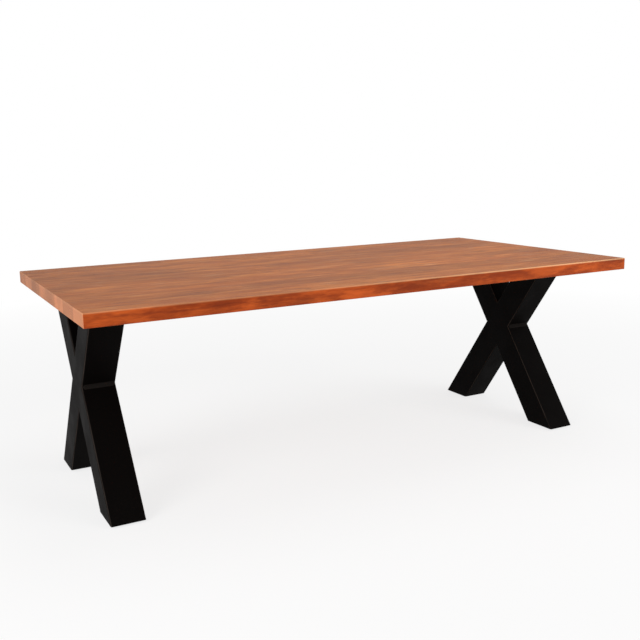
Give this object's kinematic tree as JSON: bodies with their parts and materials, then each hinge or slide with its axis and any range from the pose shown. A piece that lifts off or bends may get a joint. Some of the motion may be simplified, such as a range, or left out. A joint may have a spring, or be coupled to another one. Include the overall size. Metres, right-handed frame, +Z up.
{
  "type": "sawbuck table",
  "caption": "Long dining table with a thick edge-glued wood top on crossed end frames of wide square steel tube, levelled by screw feet.",
  "frame": {"origin": "on the floor under the middle of the top", "axes": "+X along the table to its right end as seen from the front, +Y to the back, +Z up"},
  "size_m": [2.2, 1.1, 0.76],
  "materials": {
    "oiled_wood": "oiled, satin",
    "black_powder_coat": "satin powder coat",
    "zinc_steel": "zinc plated",
    "black_nylon": "matte"
  },
  "bodies": {
    "table": {"top_board_1": "oiled_wood", "top_board_2": "oiled_wood", "top_board_3": "oiled_wood", "top_board_4": "oiled_wood", "top_board_5": "oiled_wood", "top_board_6": "oiled_wood", "top_board_7": "oiled_wood", "top_board_8": "oiled_wood", "left_stiffener_channel": "black_powder_coat", "right_stiffener_channel": "black_powder_coat", "channel_screws": "zinc_steel", "left_long_tube": "black_powder_coat", "left_upper_tube": "black_powder_coat", "left_lower_tube": "black_powder_coat", "left_frame_welds": "black_powder_coat", "left_mounting_plate": "black_powder_coat", "left_plate_bolts": "zinc_steel", "left_plate_washers": "zinc_steel", "left_top_inserts": "zinc_steel", "left_front_foot_plate": "black_powder_coat", "left_front_foot_nut": "zinc_steel", "left_back_foot_plate": "black_powder_coat", "left_back_foot_nut": "zinc_steel", "right_long_tube": "black_powder_coat", "right_upper_tube": "black_powder_coat", "right_lower_tube": "black_powder_coat", "right_frame_welds": "black_powder_coat", "right_mounting_plate": "black_powder_coat", "right_plate_bolts": "zinc_steel", "right_plate_washers": "zinc_steel", "right_top_inserts": "zinc_steel", "right_front_foot_plate": "black_powder_coat", "right_front_foot_nut": "zinc_steel", "right_back_foot_plate": "black_powder_coat", "right_back_foot_nut": "zinc_steel"},
    "left_front_pad": {"left_front_leveller_pad": "black_nylon"},
    "left_front_stud": {"left_front_leveller_stud": "zinc_steel"},
    "left_back_pad": {"left_back_leveller_pad": "black_nylon"},
    "left_back_stud": {"left_back_leveller_stud": "zinc_steel"},
    "right_front_pad": {"right_front_leveller_pad": "black_nylon"},
    "right_front_stud": {"right_front_leveller_stud": "zinc_steel"},
    "right_back_pad": {"right_back_leveller_pad": "black_nylon"},
    "right_back_stud": {"right_back_leveller_stud": "zinc_steel"}
  },
  "joints": [
    {"name": "left_front_leveller_travel", "type": "slide", "parent": "table", "child": "left_front_pad", "axis": [0, 0, -1], "range_m": [0, 0.015]},
    {"name": "left_front_leveller_turn", "type": "hinge", "parent": "left_front_pad", "child": "left_front_stud", "pos_m": [-0.96, -0.297, 0.006], "axis": [0, 0, -1], "range_deg": [0, 3600]},
    {"name": "left_back_leveller_travel", "type": "slide", "parent": "table", "child": "left_back_pad", "axis": [0, 0, -1], "range_m": [0, 0.015]},
    {"name": "left_back_leveller_turn", "type": "hinge", "parent": "left_back_pad", "child": "left_back_stud", "pos_m": [-0.96, 0.297, 0.006], "axis": [0, 0, -1], "range_deg": [0, 3600]},
    {"name": "right_front_leveller_travel", "type": "slide", "parent": "table", "child": "right_front_pad", "axis": [0, 0, -1], "range_m": [0, 0.015]},
    {"name": "right_front_leveller_turn", "type": "hinge", "parent": "right_front_pad", "child": "right_front_stud", "pos_m": [0.96, -0.297, 0.006], "axis": [0, 0, -1], "range_deg": [0, 3600]},
    {"name": "right_back_leveller_travel", "type": "slide", "parent": "table", "child": "right_back_pad", "axis": [0, 0, -1], "range_m": [0, 0.015]},
    {"name": "right_back_leveller_turn", "type": "hinge", "parent": "right_back_pad", "child": "right_back_stud", "pos_m": [0.96, 0.297, 0.006], "axis": [0, 0, -1], "range_deg": [0, 3600]}
  ],
  "couplings": [
    {"joint": "left_front_leveller_turn", "follows": "left_front_leveller_travel", "rad_per_m": 4188.8},
    {"joint": "left_back_leveller_turn", "follows": "left_back_leveller_travel", "rad_per_m": 4188.8},
    {"joint": "right_front_leveller_turn", "follows": "right_front_leveller_travel", "rad_per_m": 4188.8},
    {"joint": "right_back_leveller_turn", "follows": "right_back_leveller_travel", "rad_per_m": 4188.8}
  ]
}
